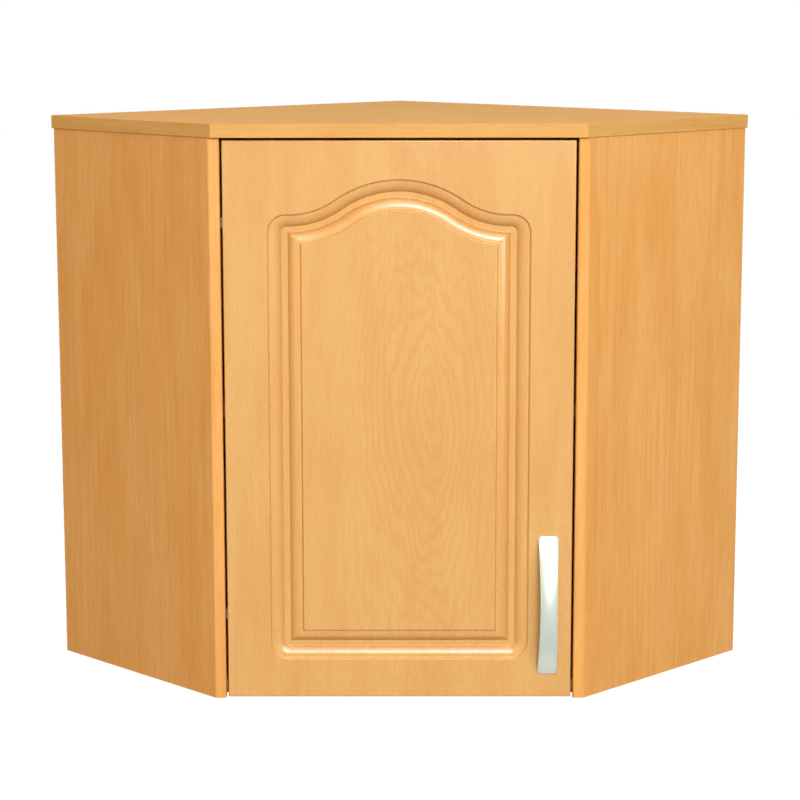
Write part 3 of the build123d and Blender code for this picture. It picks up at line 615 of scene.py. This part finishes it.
def half_ring(mesh, offset, height):
    """Right half of a ring along the groove's middle line, rounded outside it, mitred inside."""
    drawn = set(mesh.edges)
    half = groove_half + offset
    offset *= lying_share
    low = groove_low - offset
    crown_z = groove_crown - arch_radius
    hollow_x = 2 * arch_radius * sin(arch_angle)
    hollow_z = crown_z + 2 * arch_radius * cos(arch_angle)
    hollow_radius = arch_radius - offset
    pen = Pen(mesh, 0.0, door_face - height, crown_z + arch_radius + offset)
    pen.arc(0.0, crown_z, arch_angle, arch_steps)
    if offset < 0:
        to_mitre = asin((hollow_x - half) / hollow_radius) - arch_angle
        pen.arc(hollow_x, hollow_z, to_mitre, arch_steps)
        pen.line(half, low)
    else:
        rounding = groove_corner + offset - floor_width / 2
        top = hollow_z - hollow_radius
        pen.arc(hollow_x, hollow_z, -arch_angle, arch_steps)
        pen.line(half - rounding, top)
        pen.arc(half - rounding, top - rounding, pi / 2, corner_steps)
        pen.line(half, low + rounding)
        pen.arc(half - rounding, low + rounding, pi / 2, corner_steps)
    pen.line(0.0, low)
    return [edge for edge in mesh.edges if edge not in drawn]


# %% [markdown]
# The profile of one slope is a short list of corners: the flat floor, the slope that steepens
# towards the floor, a small step, and the face. `soften` rounds the corners the way foil does. The
# rings just inside the floor and just beyond the arris keep the flat parts flat when shaded.

# %% Softened corners
least_corner = radians(12)  # flatter corners stay as they are
most_of_run = 0.45  # how much of a straight run one curve may take


def soften(corners, radius, steps=3):
    """Rounds the sharp corners of a profile with small curves that share their tangents."""
    points = [corners[0]]
    for before, corner, after in zip(corners, corners[1:], corners[2:]):
        into, out = corner - before, after - corner
        if into.angle(out) < least_corner:
            points.append(corner)
            continue
        start = corner - into.normalized() * min(radius, into.length * most_of_run)
        end = corner + out.normalized() * min(radius, out.length * most_of_run)
        for step in range(steps + 1):
            share = step / steps
            points.append(start.lerp(corner, share).lerp(corner.lerp(end, share), share))
    return points + [corners[-1]]


# %% Profile of a slope
foil_radius = 0.45 * MM
flat_margin = 0.6 * MM
slope_steps = 12
floor_edge = floor_width / 2
profile = [Vector((floor_edge - flat_margin, -groove_depth)), Vector((floor_edge, -groove_depth))]
for step in range(1, slope_steps + 1):
    share = step / slope_steps
    height = -(step_depth + (groove_depth - step_depth) * (1 - share) ** slope_bulge)
    profile.append(Vector((floor_edge + slope_width * share, height)))
rim = floor_edge + slope_width + step_lean
profile += [Vector((rim, 0)), Vector((rim + flat_margin + foil_radius, 0))]
profile = soften(profile, foil_radius)
print("rings on each slope:", len(profile))

# %% [markdown]
# The rings of each slope are joined two by two with `bridge_loops`, which works because all rings of
# one side have the same number of points. The flat floor, the frame and the raised field are then
# filled with `triangle_fill`, which takes the edges round a sheet and round its holes. The back has
# the two bores of the hinge cups.

# %% Flat sheets
def fill_between(mesh, *loops):
    """Fills a flat sheet between its outline and its holes."""
    edges = [e for loop in loops for e in loop]
    bmesh.ops.triangle_fill(mesh, use_beauty=True, use_dissolve=False, edges=edges)


def open_edges(mesh, y):
    """Edges of the mesh with fewer than two faces, in an upright plane."""
    loose = [e for e in mesh.edges if len(e.link_faces) < 2]
    return [e for e in loose if all(abs(v.co.y - y) < same_place for v in e.verts)]


# %% Slopes of the groove
def append(target, source):
    """Moves the geometry of one bmesh into another."""
    data = bpy.data.meshes.new("part")
    source.to_mesh(data)
    source.free()
    target.from_mesh(data)
    bpy.data.meshes.remove(data)


def routed_slope(side):
    """The slope outside (1) or inside (-1) the floor of the groove."""
    slope = bmesh.new()
    rings = [half_ring(slope, side * point.x, point.y) for point in profile]
    for near, far in zip(rings, rings[1:]):
        bmesh.ops.bridge_loops(slope, edges=near + far)
    both_halves(slope)
    print("slope", side, len(slope.faces), "faces")
    return slope


# %% Sides of the door
arris_steps = 6


def door_shell():
    """Sides of the door with their rounded front arris, open at both faces."""
    shell = bmesh.new()
    turns = [pi / 2 * step / arris_steps for step in range(arris_steps + 1)]
    arris = [(door_edge_radius * (1 - cos(a)), door_edge_radius * (1 - sin(a))) for a in turns]
    rings = [(0.0, door_high.y - door_low.y)] + arris + [(door_edge_radius + flat_margin, 0.0)]
    last = None
    for inward, depth in rings:
        plane = Matrix.Translation((0, door_low.y + depth, (door_low.z + door_high.z) / 2))
        plane = plane @ Matrix.Rotation(pi / 2, 4, "X")
        size = ((door_high.x - inward) * 2, (door_high.z - door_low.z) - inward * 2, 1)
        plane = plane @ Matrix.Diagonal((*size, 1))
        grid = bmesh.ops.create_grid(shell, x_segments=1, y_segments=1, size=0.5, matrix=plane)
        sheet = list({f for v in grid["verts"] for f in v.link_faces})
        bmesh.ops.delete(shell, geom=sheet, context="FACES_ONLY")
        ring_edges = list({e for v in grid["verts"] for e in v.link_edges})
        if last:
            bmesh.ops.bridge_loops(shell, edges=last + ring_edges)
        last = ring_edges
    return shell


# %% Bores of the hinge cups
cup_radius = 17.5 * MM
cup_depth = 11.6 * MM
cup_behind_pin = 10.5 * MM
bore_segments = 48


def bore(mesh, x, z, radius, depth):
    """A blind bore in the door's back. Returns the edges of its mouth."""
    place = Matrix.Translation((x, door_high.y, z)) @ Matrix.Rotation(pi / 2, 4, "X")
    circle = bmesh.ops.create_circle(mesh, segments=bore_segments, radius=radius, matrix=place)
    mouth = list({e for v in circle["verts"] for e in v.link_edges})
    run = bmesh.ops.extrude_edge_only(mesh, edges=mouth)["geom"]
    floor_verts = [v for v in run if isinstance(v, bmesh.types.BMVert)]
    bmesh.ops.translate(mesh, verts=floor_verts, vec=(0, -depth, 0))
    bmesh.ops.edgeloop_fill(mesh, edges=[e for e in run if isinstance(e, bmesh.types.BMEdge)])
    return mouth


print("two bores of", 2 * cup_radius / MM, "mm,", round(cup_depth / MM, 1), "mm deep")

# %% Door leaf
door = door_shell()
for side in (1, -1):
    append(door, routed_slope(side))
fill_between(door, open_edges(door, door_face + groove_depth))
fill_between(door, open_edges(door, door_face))
back_edges = open_edges(door, door_high.y)
mouths = []
for level in ("lower", "upper"):
    pin_low, pin_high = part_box(level + "_hinge_pin")
    pin = (pin_low + pin_high) / 2
    mouths += bore(door, pin.x + cup_behind_pin, pin.z, cup_radius, cup_depth)
fill_between(door, back_edges, mouths)
print("open edges left in the door:", sum(len(e.link_faces) != 2 for e in door.edges))
put_in_scene(door, "routed_door", [door_wood], "door", "door_leaf")

# %% [markdown]
# ## The bow handle
# The handle is a cast bow: a strap with a crowned front, narrower in the middle, that lands on the
# door at both ends, where a flat facet cuts its crown. A curve with a bevel object could draw it,
# but spinning the cross-section round the bow's centre gives even rings, and a plane can then cut
# each facet as a file would.

# %% Sizes of the handle
handle_low, handle_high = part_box("handle")
handle_length = handle_high.z - handle_low.z
handle_x = (handle_low.x + handle_high.x) / 2
handle_z = (handle_low.z + handle_high.z) / 2
handle_half_width = (handle_high.x - handle_low.x) / 2
end_width, waist_width = 24.4 * MM, 20.1 * MM
end_corner = 3.0 * MM
end_rise = 3.0 * MM
strap = 4.5 * MM
crown = 2.4 * MM
rim_bevel = 0.4 * MM
facet_length = 32.5 * MM
facet_end_thickness = 3.4 * MM
bow = handle_high.y - handle_low.y - end_rise
bow_radius = ((handle_length / 2) ** 2 + bow**2) / (2 * bow)
bow_centre = Vector((0, handle_low.y + bow_radius, handle_z))
print("bow radius", round(bow_radius / MM, 1), "mm")

# %% Handle strap
spare_turn = radians(2)
bow_steps = 72
crown_steps = 8


def strap_section(mesh):
    """Cross-section of the strap at the top of the bow, crowned on the front, round x = 0."""
    half = handle_half_width
    crown_radius = (half**2 + crown**2) / (2 * crown)
    reach = asin(half / crown_radius)
    tip = mesh.verts.new((0, handle_low.y, handle_z))
    centre = (0, handle_low.y + crown_radius, handle_z)
    spun = bmesh.ops.spin(
        mesh, geom=[tip], cent=centre, axis=(0, 0, 1), angle=reach, steps=crown_steps
    )
    right = spun["geom_last"][0]
    rear = bmesh.ops.extrude_vert_indiv(mesh, verts=[right])["verts"][0]
    rear.co.y = handle_low.y + strap
    both_halves(mesh)
    return bmesh.ops.contextual_create(mesh, geom=mesh.edges[:])["faces"][0]


half_turn = asin(handle_length / 2 / bow_radius) + spare_turn
bow_mesh = bmesh.new()
strap_section(bow_mesh)
start = Matrix.Rotation(-half_turn, 4, "X")
bmesh.ops.rotate(bow_mesh, verts=bow_mesh.verts, cent=bow_centre, matrix=start)
bmesh.ops.spin(
    bow_mesh,
    geom=bow_mesh.faces[:] + bow_mesh.edges[:] + bow_mesh.verts[:],
    cent=bow_centre,
    axis=(1, 0, 0),
    angle=2 * half_turn,
    steps=bow_steps,
)
bmesh.ops.recalc_face_normals(bow_mesh, faces=bow_mesh.faces)
print("strap", len(bow_mesh.faces), "faces")

# %% [markdown]
# The ends are squared with two planes, and a third and a fourth cut the facets, which get a brighter
# copy of the metal as a painted highlight. Each facet leans from an apex on the crown down to a
# thinner end. Short cuts round the corners, a bevel softens the rim, and last the strap is drawn in
# towards its waist.

# %% Cuts with a plane
def cut_away(mesh, place, normal):
    """Cuts off what lies beyond a plane and closes the cut. Returns the face that closes it."""
    everything = mesh.verts[:] + mesh.edges[:] + mesh.faces[:]
    cut = bmesh.ops.bisect_plane(
        mesh, geom=everything, dist=1e-7, plane_co=place, plane_no=normal, clear_outer=True
    )["geom_cut"]
    cut_edges = [e for e in cut if isinstance(e, bmesh.types.BMEdge)]
    return bmesh.ops.contextual_create(mesh, geom=cut_edges)["faces"][0]


def on_bow(z, radius):
    """Place on a circle round the bow's centre, at a height z off its middle."""
    return Vector((0, bow_centre.y - sqrt(radius**2 - z**2), handle_z + z))


# %% Ends and facets
for side in (-1, 1):
    cut_away(bow_mesh, (0, 0, handle_z + side * handle_length / 2), (0, 0, side))
    apex = on_bow(side * (handle_length / 2 - facet_length), bow_radius)
    end = on_bow(side * handle_length / 2, bow_radius - strap + facet_end_thickness)
    along = (end - apex).normalized()
    facet = cut_away(bow_mesh, apex, Vector((side, 0, 0)).cross(along))
    # The second slot holds the brighter facet metal, a painted highlight.
    facet.material_index = 1
bmesh.ops.remove_doubles(bow_mesh, verts=bow_mesh.verts, dist=same_place)
print("facets lean by", round(degrees(along.angle(Vector((0, 0, 1)))), 1), "degrees")

# %% Rounded corners
corner_turns = [radians(22.5), radians(45), radians(67.5)]
for side in (-1, 1):
    for edge in (-1, 1):
        round_x = edge * (handle_half_width - end_corner)
        round_z = handle_z + side * (handle_length / 2 - end_corner)
        for turn in corner_turns:
            normal = Vector((edge * cos(turn), 0, side * sin(turn)))
            cut_away(bow_mesh, Vector((round_x, 0, round_z)) + normal * end_corner, normal)
bmesh.ops.remove_doubles(bow_mesh, verts=bow_mesh.verts, dist=same_place)
print("strap with four round corners:", len(bow_mesh.faces), "faces")

# %% Soft rim and waist
least_rim_angle = radians(38)
waist_share = waist_width / end_width
closed = [e for e in bow_mesh.edges if len(e.link_faces) == 2]
rim_edges = [e for e in closed if e.calc_face_angle() > least_rim_angle]
bmesh.ops.bevel(
    bow_mesh,
    geom=rim_edges,
    offset=rim_bevel,
    segments=2,
    profile=0.5,
    affect="EDGES",
    material=-1,
    clamp_overlap=True,
)
for vert in bow_mesh.verts:
    along = abs(vert.co.z - handle_z) / (handle_length / 2)
    vert.co.x *= waist_share + (1 - waist_share) * min(along**2, 1.0)
bmesh.ops.translate(bow_mesh, verts=bow_mesh.verts, vec=(handle_x, 0, 0))
bow_metals = [handle_metal, painted_highlight_facet_metal]
put_in_scene(bow_mesh, "bow_handle", bow_metals, "door", "handle", sharp=5)

# %% [markdown]
# ## The studio
# The photograph is a cut-out on white, lit softly from the front and the right. A white floor would
# throw too much light up at the boards, and would still look grey far from the lamps. So the light
# meets grey paper, while rays from the camera and reflections see it and the world as white. Two
# weak lamps behind only serve views of the back.

# %% What the viewer sees
white = (1, 1, 1, 1)


def show_viewer(tree, lit, seen, share, output):
    """Ends a tree with a shader that light meets, and another one that the viewer sees.

    The viewer's rays are those of the camera, of reflections and through glass."""
    viewer = tree.add("LightPath", {}, output="Is Camera Ray")
    for kind in ("Glossy", "Transmission"):
        viewer = viewer.larger(tree.add("LightPath", {}, output=f"Is {kind} Ray"))
    blend = tree.add("MixShader", {}, viewer * share, Socket(tree, lit.outputs[0]), seen)
    tree.feed(tree.nodes[output].inputs["Surface"], blend)


# %% Floor
floor_half = 12.0
paper_grey = 0.28
glow_strength = 1.3
glow_share = 0.75

floor_mesh = bmesh.new()
bmesh.ops.create_grid(floor_mesh, x_segments=1, y_segments=1, size=floor_half)
floor_data = bpy.data.meshes.new("floor")
floor_mesh.to_mesh(floor_data)
floor_mesh.free()
floor = bpy.data.objects.new("floor", floor_data)
bpy.context.scene.collection.objects.link(floor)

paper = Finish("floor_paper", roughness=0.9)
paper.set(Base_Color=(paper_grey, paper_grey, paper_grey, 1))
glow = paper.add("Emission", {}, Strength=glow_strength)
show_viewer(paper, paper.shader, glow, glow_share, "Material Output")
floor_data.materials.append(paper.material)
print("floor", 2 * floor_half, "m square")

# %% World
ambient_strength = 0.04

world = bpy.data.worlds.new("studio")
world.use_nodes = True
bpy.context.scene.world = world
sky = Tree(world.node_tree)
ambient = sky.nodes["Background"]
ambient.inputs["Color"].default_value = white
ambient.inputs["Strength"].default_value = ambient_strength
show_viewer(sky, ambient, sky.add("Background", {}, Color=white), 1.0, "World Output")
print("world strength", ambient_strength)

# %% Lamps
middle = (cad_low + cad_high) / 2


def lamp(name, azimuth, elevation, distance, size, power, tint=(1, 1, 1)):
    """A square soft box aimed at the cabinet, in degrees, metres and watts.

    Azimuth 0 is in front, and it grows to the right."""
    data = bpy.data.lights.new(name, "AREA")
    data.size = size
    data.energy = power
    data.color = tint
    box = bpy.data.objects.new(name, data)
    bpy.context.scene.collection.objects.link(box)
    side, up = radians(azimuth), radians(elevation)
    away = Vector((sin(side) * cos(up), -cos(side) * cos(up), sin(up)))
    box.location = middle + away * distance
    box.rotation_euler = away.to_track_quat("Z", "Y").to_euler()


lamp("key", 28, 25, 6.0, 2.4, 108.0)
lamp("front_card", 6, 21, 5.0, 1.3, 115.0)
lamp("high_front", 2, 44, 6.0, 3.0, 68.0)
lamp("overhead", 0, 85, 6.0, 3.0, 132.0)
lamp("left_fill", -55, 12, 6.0, 2.7, 35.0, (1, 0.60, 0.08))
lamp("rear_right", 135, 8, 6.0, 1.6, 50.0)
lamp("rear_left", -135, 8, 6.0, 1.6, 50.0)
print("studio is lit")
